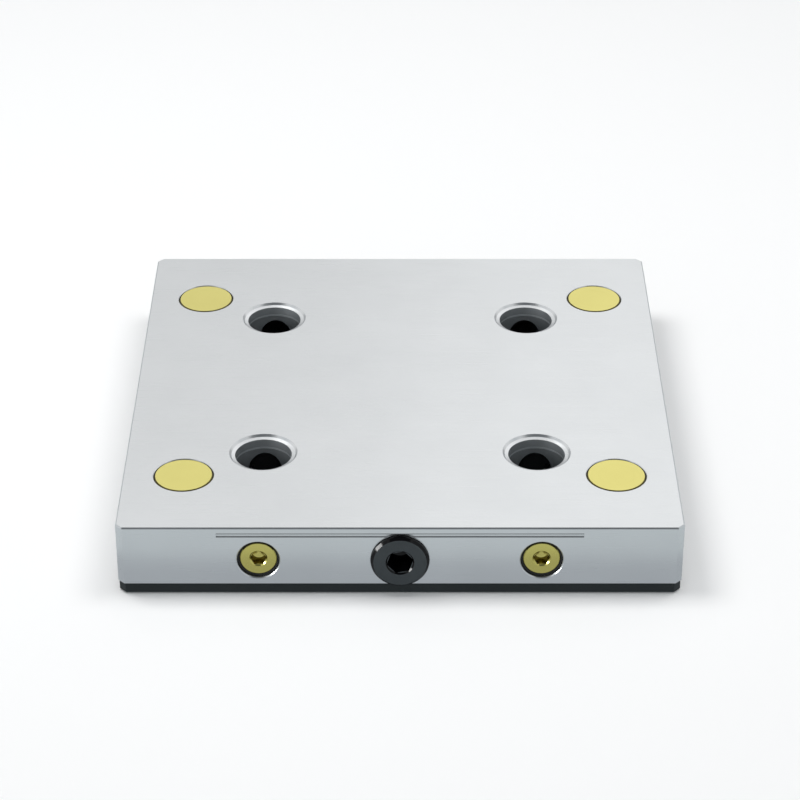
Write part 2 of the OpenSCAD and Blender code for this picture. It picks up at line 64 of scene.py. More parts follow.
class Quarter(Enum):
    """Quarters of the plate, as the solids name them."""

    FRONT_LEFT = "front_left"
    FRONT_RIGHT = "front_right"
    REAR_LEFT = "rear_left"
    REAR_RIGHT = "rear_right"


class Side(Enum):
    """Sides of the plate that have a slide and a spring."""

    LEFT = "left"
    RIGHT = "right"


class End(Enum):
    """Ends of a spring, with the direction of each along Y."""

    FRONT = -1
    REAR = 1


class Axis(Enum):
    """Axis that a piece was turned about, with the turn that lays Z along it."""

    Y = (math.pi / 2, 0.0, 0.0)
    Z = (0.0, 0.0, 0.0)

    @property
    def along(self) -> Point:
        """Gives the direction of the axis."""
        return (0.0, 1.0, 0.0) if self is Axis.Y else (0.0, 0.0, 1.0)


class Wiring:
    """Places and links the nodes of one tree."""

    def __init__(self, tree: bpy.types.NodeTree) -> None:
        """Takes the tree to fill.

        Args:
            tree: Node tree of a material, a world or a group.
        """
        self.tree = tree

    def node(self, kind: str, **settings: object) -> bpy.types.Node:
        """Adds a node.

        Args:
            kind: Type of the node.
            settings: Properties of the node.

        Returns:
            The new node.
        """
        made = self.tree.nodes.new(kind)
        made.location = (NODE_STEP * len(self.tree.nodes), 0.0)
        for key, value in settings.items():
            setattr(made, key, value)
        return made

    def feed(self, target: bpy.types.NodeSocket, source: Source) -> None:
        """Links a socket to its source, or sets a plain value on it.

        Args:
            target: Input socket.
            source: Output socket or value.
        """
        if isinstance(source, bpy.types.NodeSocket):
            self.tree.links.new(source, target)
        elif target.type == "RGBA":
            target.default_value = (*source, 1.0)
        else:
            target.default_value = source

    def math(self, operation: str, *sources: Source) -> bpy.types.NodeSocket:
        """Adds a Math node.

        Args:
            operation: Operation of the node.
            sources: Its inputs, in order.

        Returns:
            The result.
        """
        made = self.node("ShaderNodeMath", operation=operation)
        for target, source in zip(made.inputs, sources):
            self.feed(target, source)
        return made.outputs[0]

    def vector(self, operation: str, *sources: Source) -> bpy.types.Node:
        """Adds a Vector Math node.

        Args:
            operation: Operation of the node.
            sources: Its inputs, in order.

        Returns:
            The node, for its Vector or Value output.
        """
        made = self.node("ShaderNodeVectorMath", operation=operation)
        for target, source in zip(made.inputs, sources):
            self.feed(target, source)
        return made

    def scaled(self, place: Source, scale: Source) -> bpy.types.NodeSocket:
        """Scales coordinates by the same factor on all axes.

        Args:
            place: Coordinates.
            scale: Factor.

        Returns:
            The scaled coordinates.
        """
        made = self.vector("SCALE", place)
        self.feed(made.inputs["Scale"], scale)
        return made.outputs["Vector"]

    def parts(self, vector: Source) -> bpy.types.bpy_prop_collection:
        """Splits a vector.

        Args:
            vector: Vector to split.

        Returns:
            Its X, Y and Z, by name.
        """
        made = self.node("ShaderNodeSeparateXYZ")
        self.feed(made.inputs["Vector"], vector)
        return made.outputs

    def reach(self, vector: Source, along: Source) -> bpy.types.NodeSocket:
        """Measures how far a vector goes along an axis, to either side.

        Args:
            vector: Vector to measure.
            along: Direction of the axis.

        Returns:
            The length along the axis.
        """
        made = self.vector("DOT_PRODUCT", vector, along)
        return self.math("ABSOLUTE", made.outputs["Value"])

    def radius(self, place: Source) -> bpy.types.NodeSocket:
        """Measures the distance of a place from the Z axis.

        Args:
            place: Coordinates.

        Returns:
            The distance.
        """
        flat = self.vector("MULTIPLY", place, (1.0, 1.0, 0.0))
        return self.vector("LENGTH", flat.outputs["Vector"]).outputs["Value"]

    def remap(
        self, value: Source, low: float, high: float, span: tuple[float, float] = (0.0, 1.0)
    ) -> bpy.types.NodeSocket:
        """Maps a value from one span to another, held at the ends.

        Args:
            value: Value to map.
            low: Result at the start of the span.
            high: Result at the end of the span.
            span: Start and end of the value.

        Returns:
            The mapped value.
        """
        made = self.node("ShaderNodeMapRange")
        names = ("Value", "From Min", "From Max", "To Min", "To Max")
        for name, source in zip(names, (value, *span, low, high)):
            self.feed(made.inputs[name], source)
        return made.outputs["Result"]

    def mix(self, kind: str, mask: Source, low: Source, high: Source) -> bpy.types.NodeSocket:
        """Mixes two colours or two values by a mask.

        Args:
            kind: "RGBA" for colours, "FLOAT" for values.
            mask: Share of the second one.
            low: First one.
            high: Second one.

        Returns:
            The mixture.
        """
        made = self.node("ShaderNodeMix", data_type=kind)
        for name, source in zip(("Factor", "A", "B"), (mask, low, high)):
            self.feed(made.inputs[name], source)
        return made.outputs["Result"]

    def noise(self, place: Source, detail: float, rough: float) -> bpy.types.NodeSocket:
        """Adds a Noise Texture of scale 1.

        Args:
            place: Coordinates, already scaled.
            detail: Number of octaves.
            rough: Share that each octave keeps.

        Returns:
            The noise value.
        """
        made = self.node("ShaderNodeTexNoise")
        for name, source in zip(("Vector", "Scale", "Detail", "Roughness"), (place, 1.0, detail, rough)):
            self.feed(made.inputs[name], source)
        return made.outputs["Fac"]


class Effect:
    """A surface effect that several finishes share, built once as a node group.

    Attributes:
        name: Name of the group.
        inputs: Its inputs, with the type of each.
        output: Name of its output.
    """

    name: str
    inputs: dict[str, str] = {}
    output: str = "Mask"

    @classmethod
    def tree(cls) -> bpy.types.NodeTree:
        """Gives the group, and builds it the first time.

        Returns:
            The node group.
        """
        made = bpy.data.node_groups.get(cls.name)
        if made is None:
            made = bpy.data.node_groups.new(cls.name, "ShaderNodeTree")
            for name, kind in cls.inputs.items():
                made.interface.new_socket(name, in_out="INPUT", socket_type=kind)
            made.interface.new_socket(cls.output, in_out="OUTPUT", socket_type="NodeSocketFloat")
            wiring = Wiring(made)
            entry, leave = wiring.node("NodeGroupInput"), wiring.node("NodeGroupOutput")
            wiring.feed(leave.inputs[cls.output], cls.fill(wiring, entry.outputs))
        return made

    @classmethod
    def fill(cls, wiring: Wiring, entry: bpy.types.bpy_prop_collection) -> bpy.types.NodeSocket:
        """Wires the inside of the group.

        Args:
            wiring: The group's tree.
            entry: The group's inputs, by name.

        Returns:
            The value that the group puts out.
        """
        raise NotImplementedError

    @classmethod
    def place(cls, wiring: Wiring, **sources: Source) -> bpy.types.NodeSocket:
        """Places the group in a material.

        Args:
            wiring: The material's tree.
            sources: Inputs by name.

        Returns:
            The group's output.
        """
        made = wiring.node("ShaderNodeGroup", node_tree=cls.tree())
        for name, source in sources.items():
            wiring.feed(made.inputs[name], source)
        return made.outputs[cls.output]


class Speckle(Effect):
    """An effect that is made of noise.

    Attributes:
        octaves: Octaves of the noise.
        keep: Share that each octave keeps.
        span: Noise values at which the mask is empty and full.
    """

    octaves: float = 2.0
    keep: float = 0.6
    span: tuple[float, float] = (0.25, 0.75)

    @classmethod
    def spread(cls, wiring: Wiring, place: bpy.types.NodeSocket) -> bpy.types.NodeSocket:
        """Spreads the noise at a place over the full mask.

        Args:
            wiring: The group's tree.
            place: Coordinates, already scaled.

        Returns:
            The mask.
        """
        return wiring.remap(wiring.noise(place, cls.octaves, cls.keep), 0.0, 1.0, cls.span)


class Cloud(Speckle):
    """Slow, soft change from patch to patch."""

    name = "cloud"
    inputs = {"Place": "NodeSocketVector", "Patches": "NodeSocketFloat"}
    octaves = 3.0
    keep = 0.5
    span = (0.3, 0.7)

    @classmethod
    def fill(cls, wiring: Wiring, entry: bpy.types.bpy_prop_collection) -> bpy.types.NodeSocket:
        """Takes noise at the size of the patches."""
        return cls.spread(wiring, wiring.scaled(entry["Place"], entry["Patches"]))


class GrinderLines(Speckle):
    """Fine straight lines of a surface grinder, which run round the upright faces.

    Attributes:
        length_share: Spacing of the lines over their length.
        end_face: How far along X a face looks, from 0 to 1, from which on its lines run along Y.
    """

    name = "grinder_lines"
    inputs = {"Place": "NodeSocketVector", "Facing": "NodeSocketVector", "Lines": "NodeSocketFloat"}
    length_share: float = 0.006
    end_face: float = 0.8

    @classmethod
    def fill(cls, wiring: Wiring, entry: bpy.types.bpy_prop_collection) -> bpy.types.NodeSocket:
        """Stretches noise along X, or along Y on the faces that look along X.

        Args:
            wiring: The group's tree.
            entry: The group's inputs, by name.

        Returns:
            Mask of the lines.
        """
        sideways = wiring.math("ABSOLUTE", wiring.parts(entry["Facing"])["X"])
        on_end = wiring.math("GREATER_THAN", sideways, cls.end_face)
        turned = wiring.node("ShaderNodeVectorRotate", rotation_type="Z_AXIS")
        wiring.feed(turned.inputs["Angle"], wiring.math("MULTIPLY", on_end, math.pi / 2))
        wiring.feed(turned.inputs["Vector"], wiring.scaled(entry["Place"], entry["Lines"]))
        drawn = wiring.vector("MULTIPLY", turned.outputs["Vector"], (cls.length_share, 1.0, 1.0))
        return cls.spread(wiring, drawn.outputs["Vector"])


class LatheRings(Speckle):
    """Fine rings round the axis that a piece was turned about."""

    name = "lathe_rings"
    inputs = {"Place": "NodeSocketVector", "Rings": "NodeSocketFloat"}

    @classmethod
    def fill(cls, wiring: Wiring, entry: bpy.types.bpy_prop_collection) -> bpy.types.NodeSocket:
        """Reads noise by the distance from the axis and the place along it.

        Args:
            wiring: The group's tree.
            entry: The group's inputs, by name.

        Returns:
            Mask of the rings.
        """
        spot = wiring.node("ShaderNodeCombineXYZ")
        wiring.feed(spot.inputs["X"], wiring.radius(entry["Place"]))
        wiring.feed(spot.inputs["Y"], wiring.parts(entry["Place"])["Z"])
        return cls.spread(wiring, wiring.scaled(spot.outputs["Vector"], entry["Rings"]))


class Grain(Speckle):
    """Even fine grain of an etched or moulded surface."""

    name = "grain"
    inputs = {"Place": "NodeSocketVector", "Grains": "NodeSocketFloat"}
    keep = 0.5

    @classmethod
    def fill(cls, wiring: Wiring, entry: bpy.types.bpy_prop_collection) -> bpy.types.NodeSocket:
        """Takes noise at the size of the grains."""
        return cls.spread(wiring, wiring.scaled(entry["Place"], entry["Grains"]))


class BoreWalls(Effect):
    """Walls of four bores that mirror each other."""

    name = "bore_walls"
    inputs = {"Place": "NodeSocketVector", "Mouth": "NodeSocketVector", "Radius": "NodeSocketFloat"}

    @classmethod
    def fill(cls, wiring: Wiring, entry: bpy.types.bpy_prop_collection) -> bpy.types.NodeSocket:
        """Marks what lies within the radius and below the mouth, folded into one quarter.

        Args:
            wiring: The group's tree.
            entry: The group's inputs, by name.

        Returns:
            Mask of the walls.
        """
        folded = wiring.vector("ABSOLUTE", entry["Place"]).outputs["Vector"]
        offset = wiring.vector("SUBTRACT", folded, entry["Mouth"]).outputs["Vector"]
        within = wiring.math("LESS_THAN", wiring.radius(offset), entry["Radius"])
        below = wiring.math("LESS_THAN", wiring.parts(offset)["Z"], 0.0)
        return wiring.math("MULTIPLY", within, below)


class ShadedUndersides(Effect):
    """Faces that look down, where shade is painted.

    Attributes:
        down: Upward part of a face's direction, below which it counts as looking down.
    """

    name = "shaded_undersides"
    inputs = {"Facing": "NodeSocketVector"}
    down: float = -0.5

    @classmethod
    def fill(cls, wiring: Wiring, entry: bpy.types.bpy_prop_collection) -> bpy.types.NodeSocket:
        """Marks the faces that look down far enough."""
        return wiring.math("LESS_THAN", wiring.parts(entry["Facing"])["Z"], cls.down)


class Boxed(Effect):
    """All that lies within an upright box."""

    name = "boxed"
    inputs = {"Place": "NodeSocketVector", "Low": "NodeSocketVector", "High": "NodeSocketVector"}

    @classmethod
    def fill(cls, wiring: Wiring, entry: bpy.types.bpy_prop_collection) -> bpy.types.NodeSocket:
        """Marks the places that are inside on all three axes.

        Args:
            wiring: The group's tree.
            entry: The group's inputs, by name.

        Returns:
            Mask of the box.
        """
        over = wiring.vector("SUBTRACT", entry["Place"], entry["Low"]).outputs["Vector"]
        under = wiring.vector("SUBTRACT", entry["High"], entry["Place"]).outputs["Vector"]
        least = wiring.parts(wiring.vector("MINIMUM", over, under).outputs["Vector"])
        flat = wiring.math("MINIMUM", least["X"], least["Y"])
        return wiring.math("GREATER_THAN", wiring.math("MINIMUM", flat, least["Z"]), 0.0)


class EndFaces(Effect):
    """Outer end faces of turned pieces."""

    name = "end_faces"
    inputs = {
        "Place": "NodeSocketVector", "Facing": "NodeSocketVector", "Along": "NodeSocketVector",
        "Square": "NodeSocketFloat", "Beyond": "NodeSocketFloat",
    }

    @classmethod
    def fill(cls, wiring: Wiring, entry: bpy.types.bpy_prop_collection) -> bpy.types.NodeSocket:
        """Marks the faces that look along the axis, beyond a distance from the middle of the plate.

        Args:
            wiring: The group's tree.
            entry: The group's inputs, by name.

        Returns:
            Mask of the end faces.
        """
        square = wiring.math("GREATER_THAN", wiring.reach(entry["Facing"], entry["Along"]), entry["Square"])
        beyond = wiring.math("GREATER_THAN", wiring.reach(entry["Place"], entry["Along"]), entry["Beyond"])
        return wiring.math("MULTIPLY", square, beyond)


class InnerEnds(Effect):
    """Inner ends of turned pieces."""

    name = "inner_ends"
    inputs = {"Place": "NodeSocketVector", "Along": "NodeSocketVector", "Within": "NodeSocketFloat"}

    @classmethod
    def fill(cls, wiring: Wiring, entry: bpy.types.bpy_prop_collection) -> bpy.types.NodeSocket:
        """Marks what lies within a distance from the middle of the plate, along the axis."""
        return wiring.math("LESS_THAN", wiring.reach(entry["Place"], entry["Along"]), entry["Within"])


@dataclass(frozen=True)
class Finish:
    """Surface that is the same on every piece that takes it, on Object coordinates.

    Attributes:
        name: Name of the material.
        colour: Colour over most of the surface.
        shade: Colour of its darker patches.
        metallic: BARE for metal, COATED for a coating or rubber.
        roughness: Roughness between the marks.
        swing: How much rougher the marks are.
        relief: Height of the marks, in metres.
        patches: Patches of colour to the metre.
        specular: Specular level.
    """

    name: str
    colour: Colour
    shade: Colour
    metallic: float
    roughness: float
    swing: float = 0.08
    relief: float = 1.0e-6
    patches: float = 40.0
    specular: float = 0.5

    def marks(self, wiring: Wiring, coordinates: bpy.types.Node) -> bpy.types.NodeSocket:
        """Wires the marks that the making of the piece left.

        Args:
            wiring: The material's tree.
            coordinates: Its Texture Coordinate node.

        Returns:
            Mask of the marks.
        """
        raise NotImplementedError

    def tone(self, wiring: Wiring, coordinates: bpy.types.Node) -> bpy.types.NodeSocket:
        """Wires the colour, in patches of two tones.

        Args:
            wiring: The material's tree.
            coordinates: Its Texture Coordinate node.

        Returns:
            The colour.
        """
        cloud = Cloud.place(wiring, Place=coordinates.outputs["Object"], Patches=self.patches)
        return wiring.mix("RGBA", cloud, self.shade, self.colour)

    def polish(
        self, wiring: Wiring, coordinates: bpy.types.Node, marks: bpy.types.NodeSocket
    ) -> bpy.types.NodeSocket:
        """Wires the roughness, higher on the marks.

        Args:
            wiring: The material's tree.
            coordinates: Its Texture Coordinate node.
            marks: Mask of the marks.

        Returns:
            The roughness.
        """
        return wiring.remap(marks, self.roughness, self.roughness + self.swing)

    def material(self) -> bpy.types.Material:
        """Gives the material, and builds it the first time.

        Returns:
            The material.
        """
        made = bpy.data.materials.get(self.name)
        if made is None:
            made = bpy.data.materials.new(self.name)
            made.use_nodes = True
            self.wire(Wiring(made.node_tree), made.node_tree.nodes["Principled BSDF"])
        return made

    def wire(self, wiring: Wiring, shader: bpy.types.Node) -> None:
        """Feeds the shader with patches of colour and with the marks.

        Args:
            wiring: The material's tree.
            shader: Its Principled BSDF.
        """
        coordinates = wiring.node("ShaderNodeTexCoord")
        marks = self.marks(wiring, coordinates)
        bump = wiring.node("ShaderNodeBump")
        bump.inputs["Distance"].default_value = self.relief
        wiring.feed(bump.inputs["Height"], marks)
        wiring.feed(shader.inputs["Base Color"], self.tone(wiring, coordinates))
        wiring.feed(shader.inputs["Roughness"], self.polish(wiring, coordinates, marks))
        wiring.feed(shader.inputs["Normal"], bump.outputs["Normal"])
        shader.inputs["Metallic"].default_value = self.metallic
        shader.inputs["Specular IOR Level"].default_value = self.specular


@dataclass(frozen=True)
class GroundFinish(Finish):
    """Finish of a surface grinder.

    Attributes:
        lines: Grinding lines to the metre.
    """

    lines: float = 4000.0

    def marks(self, wiring: Wiring, coordinates: bpy.types.Node) -> bpy.types.NodeSocket:
        """Draws straight lines."""
        places = coordinates.outputs
        return GrinderLines.place(wiring, Place=places["Object"], Facing=places["Normal"], Lines=self.lines)


@dataclass(frozen=True)
class BoredFinish(GroundFinish):
    """Ground finish of a piece that has four coarser bores and a groove.

    Attributes:
        mouth: Middle of the right rear bore's upper end.
        radius: Radius that holds the whole wall of a bore.
        land: Length of the land at the top of the wall.
        highlight_height: Height of the painted highlight strip along the land's lower edge.
        bore_colour: Colour of the wall.
        highlight_colour: Colour of the painted highlight strip.
        bore_roughness: Roughness of the wall.
        corner: Low and high corner of the box round the groove's upper corner.
        painted_shade_colour: Colour of the painted shade in that corner and on the faces that look down.
    """

    mouth: Point = MIDDLE
    radius: float = 0.0
    land: float = 0.0
    highlight_height: float = 0.0008
    bore_colour: Colour = (0.56, 0.585, 0.60)
    highlight_colour: Colour = (0.90, 0.93, 0.95)
    bore_roughness: float = 0.5
    corner: tuple[Point, Point] = (MIDDLE, MIDDLE)
    painted_shade_colour: Colour = (0.03, 0.03, 0.03)

    def walls(
        self, wiring: Wiring, coordinates: bpy.types.Node, drop: float = 0.0
    ) -> bpy.types.NodeSocket:
        """Marks the walls of the bores.

        Args:
            wiring: The material's tree.
            coordinates: Its Texture Coordinate node.
            drop: Depth below the mouth at which the marked part starts.

        Returns:
            Mask of the walls.
        """
        x, y, z = self.mouth
        return BoreWalls.place(
            wiring, Place=coordinates.outputs["Object"], Mouth=(x, y, z - drop), Radius=self.radius
        )

    def tone(self, wiring: Wiring, coordinates: bpy.types.Node) -> bpy.types.NodeSocket:
        """Darkens the walls of the bores, paints shade on the groove's upper corner and on the faces that
        look down, and paints a highlight strip along the land's lower edge.

        Args:
            wiring: The material's tree.
            coordinates: Its Texture Coordinate node.

        Returns:
            The colour.
        """
        low, high = self.corner
        # Painted shade: darker colour on the faces that look down and in the groove's upper corner.
        under = ShadedUndersides.place(wiring, Facing=coordinates.outputs["Normal"])
        corner = Boxed.place(wiring, Place=coordinates.outputs["Object"], Low=low, High=high)
        shade_mask = wiring.math("MAXIMUM", under, corner)
        ground = wiring.mix("RGBA", shade_mask, super().tone(wiring, coordinates), self.painted_shade_colour)
        bored = wiring.mix("RGBA", self.walls(wiring, coordinates), ground, self.bore_colour)
        # Painted highlight: a bright strip along the lower edge of each bore's land.
        below = [self.walls(wiring, coordinates, drop) for drop in (self.land - self.highlight_height, self.land)]
        return wiring.mix("RGBA", wiring.math("SUBTRACT", *below), bored, self.highlight_colour)

    def polish(
        self, wiring: Wiring, coordinates: bpy.types.Node, marks: bpy.types.NodeSocket
    ) -> bpy.types.NodeSocket:
        """Roughens the walls of the bores."""
        walls = self.walls(wiring, coordinates)
        return wiring.mix("FLOAT", walls, super().polish(wiring, coordinates, marks), self.bore_roughness)


@dataclass(frozen=True)
class TurnedFinish(Finish):
    """Finish of a lathe, on one piece or on four that mirror each other.

    Attributes:
        rings: Rings to the metre.
        centre: Point on the axis, in the right rear quarter where there are four pieces.
        axis: Direction of the axis.
    """

    rings: float = 4500.0
    centre: Point = MIDDLE
    axis: Axis = Axis.Z

    def marks(self, wiring: Wiring, coordinates: bpy.types.Node) -> bpy.types.NodeSocket:
        """Draws rings round the axis, folded into one quarter.

        Args:
            wiring: The material's tree.
            coordinates: Its Texture Coordinate node.

        Returns:
            Mask of the rings.
        """
        folded = wiring.vector("ABSOLUTE", coordinates.outputs["Object"]).outputs["Vector"]
        centred = wiring.node("ShaderNodeMapping", vector_type="TEXTURE")
        sources = {"Vector": folded, "Location": self.centre, "Rotation": self.axis.value}
        for name, source in sources.items():
            wiring.feed(centred.inputs[name], source)
        return LatheRings.place(wiring, Place=centred.outputs["Vector"], Rings=self.rings)


@dataclass(frozen=True)
class FacedFinish(TurnedFinish):
    """Lathe finish of a piece with painted shade on all but its outer end faces.

    Attributes:
        side: Colour of the painted shade on all that isn't an end face.
        square: How far along the axis an end face looks, from 0 to 1.
        inner_shade_colour: Colour of the painted shade on the inner end.
        inner_shade_reach: Distance from the middle of the plate up to which the inner end takes painted
            shade.
    """

    side: Colour = BLACK
    square: float = 0.9
    inner_shade_colour: Colour = (0.006, 0.006, 0.006)
    inner_shade_reach: float = 0.0

    def tone(self, wiring: Wiring, coordinates: bpy.types.Node) -> bpy.types.NodeSocket:
        """Keeps the lighter colour for the outer end faces, paints shade on the rest and darker shade on
        the inner ends.

        Args:
            wiring: The material's tree.
            coordinates: Its Texture Coordinate node.

        Returns:
            The colour.
        """
        places = coordinates.outputs
        ends = EndFaces.place(
            wiring, Place=places["Object"], Facing=places["Normal"], Along=self.axis.along,
            Square=self.square, Beyond=abs(Vector(self.centre).dot(self.axis.along)),
        )
        # Painted shade on all but the outer end faces, and on the inner ends below.
        side_shaded = wiring.mix("RGBA", ends, self.side, super().tone(wiring, coordinates))
        inner = InnerEnds.place(wiring, Place=places["Object"], Along=self.axis.along, Within=self.inner_shade_reach)
        return wiring.mix("RGBA", inner, side_shaded, self.inner_shade_colour)


@dataclass(frozen=True)
class GrainFinish(Finish):
    """Finish with an even grain.

    Attributes:
        grains: Grains to the metre.
    """

    grains: float = 2500.0

    def marks(self, wiring: Wiring, coordinates: bpy.types.Node) -> bpy.types.NodeSocket:
        """Spreads the grain."""
        return Grain.place(wiring, Place=coordinates.outputs["Object"], Grains=self.grains)


def centre_of(node: str) -> Point:
    """Gives the middle of a solid's box.

    Args:
        node: Name of the solid.

    Returns:
        The middle, in metres.
    """
    low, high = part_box(node)
    return tuple((low + high) / 2)


def dress(names: list[str], finish: Finish) -> None:
    """Gives solids their finish.

    Args:
        names: Names of the solids.
        finish: Finish that they take.
    """
    for name in names:
        materials = frame["nodes"][name].data.materials
        materials.clear()
        materials.append(finish.material())
        log.info("%s takes %s", name, finish.name)


@dataclass
class Housing:
    """Steel body, the black plate under it, and what holds the two together.

    Attributes:
        steel_colour: Colour of the ground steel.
        steel_shade: Colour of its darker patches.
        steel_roughness: Roughness of the ground steel.
        bore_margin: How far the walls of a stud bore may lie outside its land, in metres.
        groove_drop: Drop from the top face to the groove in the front face.
        groove_depth: Depth of the groove, whose walls slope at 45 degrees.
        groove_half: Half the groove's length.
        corner_reach: How far the painted shade spreads from the groove's upper corner.
        black: Finish of the base plate.
        screws: Finish of the screws in the base plate.
        dowels: Finish of the dowels.
    """

    steel_colour: Colour = (0.646, 0.663, 0.673)
    steel_shade: Colour = (0.622, 0.639, 0.649)
    steel_roughness: float = 0.26
    bore_margin: float = 0.001
    groove_drop: float = 0.0022
    groove_depth: float = 0.0004
    groove_half: float = 0.062
    corner_reach: float = 0.00012
    black: Finish = GrainFinish(
        "plate_finish", (0.0125, 0.018, 0.019), (0.010, 0.015, 0.016), COATED, 0.42, specular=0.27
    )
    screws: Finish = GrainFinish(
        "base_screw_finish", (0.014, 0.014, 0.015), (0.010, 0.010, 0.011), COATED, 0.36
    )
    dowels: Finish = GroundFinish("dowel_finish", (0.52, 0.53, 0.55), (0.46, 0.47, 0.49), BARE, 0.22)

    def steel(self) -> Finish:
        """Gives the ground steel, with the walls of the stud bores where the record has them.

        Returns:
            The finish of the body.
        """
        name = f"stud_bore_{Quarter.REAR_RIGHT.value}"
        bore = next(mount for mount in frame["record"]["mounts"] if mount["name"] == name)
        x, y, z = bore["pos_m"]
        land = bore["dims"]["length_mm"] * MILLIMETRE
        return BoredFinish(
            "ground_finish", self.steel_colour, self.steel_shade, BARE, self.steel_roughness,
            mouth=(x, y, z + land / 2), radius=bore["dims"]["r_mm"] * MILLIMETRE + self.bore_margin,
            land=land, corner=self.groove_corner(),
        )

    def groove_corner(self) -> tuple[Point, Point]:
        """Finds the corner between the groove's upper wall and its floor.

        Returns:
            Low and high corner of the box that holds the painted shade there.
        """
        low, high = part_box("body")
        floor_y = low.y + self.groove_depth
        corner_z = high.z - self.groove_drop - self.groove_depth
        return (
            (-self.groove_half, floor_y - self.corner_reach, corner_z - self.corner_reach),
            (self.groove_half, floor_y + self.corner_reach, corner_z + self.corner_reach),
        )

    def dress(self) -> None:
        """Dresses the body, the base plate, its screws and its dowels."""
        dress(["body"], self.steel())
        dress(["base_plate"], self.black)
        dress(["base_screws"], self.screws)
        dress(["base_dowels"], self.dowels)


@dataclass
class Covers:
    """Brass covers over the mounting holes, with their rings.

    Attributes:
        brass_colour: Colour of the top faces.
        brass_shade: Colour of their darker patches.
        rim_shade_colour: Colour of the painted shade on the bevelled rims.
        roughness: Roughness of the brass.
        rubber: Finish of the rings.
    """

    brass_colour: Colour = (0.70, 0.64, 0.215)
    brass_shade: Colour = (0.665, 0.605, 0.20)
    rim_shade_colour: Colour = (0.10, 0.085, 0.03)
    roughness: float = 0.30
    rubber: Finish = GrainFinish(
        "rubber_finish", (0.012, 0.012, 0.012), (0.008, 0.008, 0.008), COATED, 0.62
    )

    def brass(self) -> Finish:
        """Gives the turned brass, centred on a cover, with painted shade on the rim."""
        # The rim takes painted shade.
        return FacedFinish(
            "cover_finish", self.brass_colour, self.brass_shade, BARE, self.roughness,
            centre=centre_of(f"cover_{Quarter.REAR_RIGHT.value}"), side=self.rim_shade_colour,
        )

    def dress(self) -> None:
        """Dresses the covers and their rings."""
        dress([f"cover_{quarter.value}" for quarter in Quarter], self.brass())
        dress([f"cover_ring_{quarter.value}" for quarter in Quarter], self.rubber)


@dataclass
class Plugs:
    """Brass plugs in the ends of the cross bores, with their rings.

    Attributes:
        brass_colour: Colour of the outer faces.
        brass_shade: Colour of their darker patches.
        socket_shade_colour: Colour of the painted shade in the key sockets and on the plugs' sides.
        bevel_square: How far along the axis the bevel of a face looks, from 0 to 1.
        inner_shade_depth: How far the painted shade reaches along a plug from its inner end, in metres.
        roughness: Roughness of the brass.
        rubber: Finish of the rings.
    """

    brass_colour: Colour = (0.635, 0.57, 0.17)
    brass_shade: Colour = (0.585, 0.525, 0.155)
    socket_shade_colour: Colour = (0.30, 0.24, 0.06)
    bevel_square: float = 0.6
    inner_shade_depth: float = 0.0005
    roughness: float = 0.20
    rubber: Finish = Covers.rubber

    def brass(self) -> Finish:
        """Gives the turned brass, centred on a plug, with painted shade in the socket and on the inner end.

        Returns:
            The finish of the plugs.
        """
        plug = f"plug_{Quarter.REAR_RIGHT.value}"
        inner_end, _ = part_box(plug)
        # Painted shade in the key socket and on the inner end, deep in the bore.
        return FacedFinish(
            "plug_finish", self.brass_colour, self.brass_shade, BARE, self.roughness,
            centre=centre_of(plug), axis=Axis.Y, side=self.socket_shade_colour, square=self.bevel_square,
            inner_shade_reach=inner_end.y + self.inner_shade_depth,
        )

    def dress(self) -> None:
        """Dresses the plugs and their rings."""
        dress([f"plug_{quarter.value}" for quarter in Quarter], self.brass())
        dress([f"plug_ring_{quarter.value}" for quarter in Quarter], self.rubber)


@dataclass
class ClampingScrew:
    """Black screw in the front face, with its seal ring.

    Attributes:
        colour: Colour of the head's face.
        shade: Colour of its darker patches.
        side: Colour of the rest of the screw: black oxide, darkened further as painted shade on the bevel,
            the sides and the key socket.
        roughness: Roughness between the rings that the lathe left.
        swing: How much rougher the rings are.
        specular: Specular level.
        rubber: Finish of the seal ring.
    """

    colour: Colour = (0.046, 0.054, 0.058)
    shade: Colour = (0.041, 0.048, 0.052)
    side: Colour = (0.002, 0.002, 0.0025)
    roughness: float = 0.12
    swing: float = 0.04
    specular: float = 0.2
    rubber: Finish = Covers.rubber

    def steel(self) -> Finish:
        """Gives the blackened steel, with rings round the screw's axis and painted shade on all but the
        face.
        """
        # The side colour paints shade on the bevel, the sides and the key socket.
        return FacedFinish(
            "screw_finish", self.colour, self.shade, COATED, self.roughness, self.swing,
            specular=self.specular, centre=centre_of("screw_ring"), axis=Axis.Y, side=self.side,
        )

    def dress(self) -> None:
        """Dresses the screw and its ring."""
        dress(["clamping_screw"], self.steel())
        dress(["screw_ring"], self.rubber)


@dataclass
class Mechanism:
    """Wedge, slides, pins and anchors inside the body.

    Attributes:
        steel: Finish of the wedge, the slides and the anchors.
        pin_colour: Colour of the pins.
        pin_shade: Colour of their darker patches.
        pin_roughness: Roughness of the pins.
    """

    steel: Finish = GroundFinish("slide_finish", (0.50, 0.51, 0.53), (0.44, 0.45, 0.47), BARE, 0.24)
    pin_colour: Colour = (0.012, 0.012, 0.013)
    pin_shade: Colour = (0.008, 0.008, 0.009)
    pin_roughness: float = 0.30

    def pin_steel(self) -> Finish:
        """Gives the blackened steel of the pins, with rings round a pin's axis."""
        return TurnedFinish(
            "pin_finish", self.pin_colour, self.pin_shade, COATED, self.pin_roughness,
            centre=centre_of(f"pin_{Quarter.REAR_RIGHT.value}"), axis=Axis.Y,
        )

    def dress(self) -> None:
        """Dresses the sliding pieces and the pins."""
        dress(["wedge"] + [f"slide_{side.value}" for side in Side], self.steel)
        dress([f"anchor_{quarter.value}" for quarter in Quarter], self.steel)
        dress([f"pin_{quarter.value}" for quarter in Quarter], self.pin_steel())


